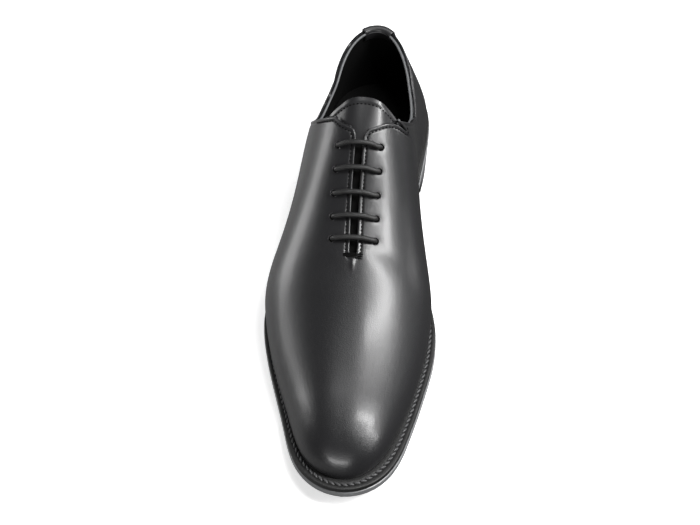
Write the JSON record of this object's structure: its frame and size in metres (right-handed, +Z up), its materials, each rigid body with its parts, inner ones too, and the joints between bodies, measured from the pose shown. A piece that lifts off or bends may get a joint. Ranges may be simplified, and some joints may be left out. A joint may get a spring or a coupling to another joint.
{
  "type": "whole cut oxford shoe",
  "caption": "Right shoe with a one-piece upper, closed lacing over a narrow slit, a tongue behind it, a welted leather sole and a low stacked heel; hollow, with an open collar.",
  "frame": {"origin": "on the ground, in the middle of the sole's length and of the widest points of its sides", "axes": "+X to the medial side (the wearer's other foot), +Y to the heel, so the toe is at -Y, +Z up"},
  "size_m": [0.1076, 0.305, 0.1131],
  "materials": {
    "sole": "smooth dyed edge and bottom, satin",
    "welt": "dyed black, stitched and wheeled, matt",
    "heel": "stacked lifts, dyed and waxed edge",
    "lift": "matt rubber top piece",
    "insole": "black suede-like lining",
    "upper": "polished smooth box calf, fine grain",
    "tongue": "smooth calf, satin",
    "tab": "smooth calf, satin",
    "lace": "round waxed cotton lace"
  },
  "bodies": {
    "root": {"outsole": "sole", "welt": "welt", "heel_stack": "heel", "top_lift": "lift", "insole": "insole", "upper": "upper", "tongue": "tongue", "heel_tab": "tab", "lace_bar_1": "lace", "lace_bar_2": "lace", "lace_bar_3": "lace", "lace_bar_4": "lace", "lace_bar_5": "lace"}
  },
  "joints": []
}
